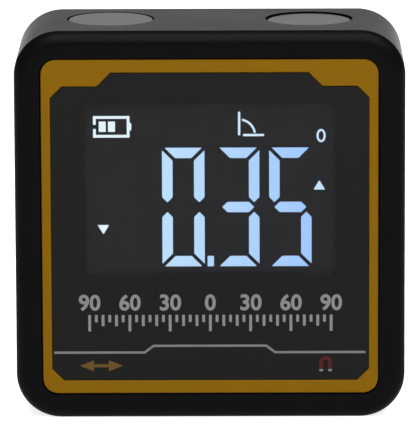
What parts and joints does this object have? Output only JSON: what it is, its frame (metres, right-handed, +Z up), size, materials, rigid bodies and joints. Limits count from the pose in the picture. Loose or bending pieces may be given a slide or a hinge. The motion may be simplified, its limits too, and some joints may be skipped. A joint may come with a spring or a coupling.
{
  "type": "digital angle gauge",
  "caption": "Square pocket inclinometer with rounded black case, yellow-framed lit display, press keys in the top face, magnets in the base and a sliding battery door behind.",
  "frame": {"origin": "middle of the base face, on the surface that the gauge stands on", "axes": "+X to the right of the display, +Y to the rear, +Z up from the base"},
  "size_m": [0.058, 0.0254, 0.0585],
  "materials": {
    "case_black": "fine satin moulding",
    "frame_yellow": "satin",
    "lens_smoke": "polished, smoked",
    "display_glass": "dark polariser",
    "figures_lit": "lit",
    "light_guide": "clear moulding",
    "elastomer": "striped elastomer",
    "board_green": "solder mask",
    "chip_black": "moulded package",
    "shield_can": "tinned can",
    "screw_steel": "plated",
    "screw_dark": "black oxide",
    "plunger_white": "moulded",
    "key_grey": "fine matte",
    "magnet_nickel": "nickel plated",
    "cell_metal": "printed sleeve",
    "contact_steel": "nickel plated spring strip"
  },
  "bodies": {
    "gauge": {"housing": "case_black", "bezel_frame": "frame_yellow", "display_lens": "lens_smoke", "lcd_glass": "display_glass", "lcd_segments": "figures_lit", "backlight_panel": "light_guide", "lcd_connectors": "elastomer", "main_board": "board_green", "controller_chip": "chip_black", "sensor_chip": "chip_black", "radio_module": "shield_can", "board_screws": "screw_steel", "key_board": "board_green", "key_header": "chip_black", "switch_left": "chip_black", "switch_right": "chip_black", "magnet_left": "magnet_nickel", "magnet_right": "magnet_nickel", "back_cover": "case_black", "cover_screws": "screw_dark", "cell_upper": "cell_metal", "cell_lower": "cell_metal", "contact_bridge": "contact_steel", "contact_plus": "contact_steel", "contact_minus": "contact_steel"},
    "left_key": {"button_left": "key_grey", "plunger_left": "plunger_white"},
    "right_key": {"button_right": "key_grey", "plunger_right": "plunger_white"},
    "door": {"battery_door": "case_black"}
  },
  "joints": [
    {"name": "button_left_press", "type": "slide", "parent": "gauge", "child": "left_key", "axis": [0, 0, -1], "range_m": [0, 0.0004], "stiffness_N_per_m": 2500, "springref_m": -0.0002},
    {"name": "button_right_press", "type": "slide", "parent": "gauge", "child": "right_key", "axis": [0, 0, -1], "range_m": [0, 0.0004], "stiffness_N_per_m": 2500, "springref_m": -0.0002},
    {"name": "battery_door_slide", "type": "slide", "parent": "gauge", "child": "door", "axis": [1, 0, 0], "range_m": [0, 0.05]}
  ]
}
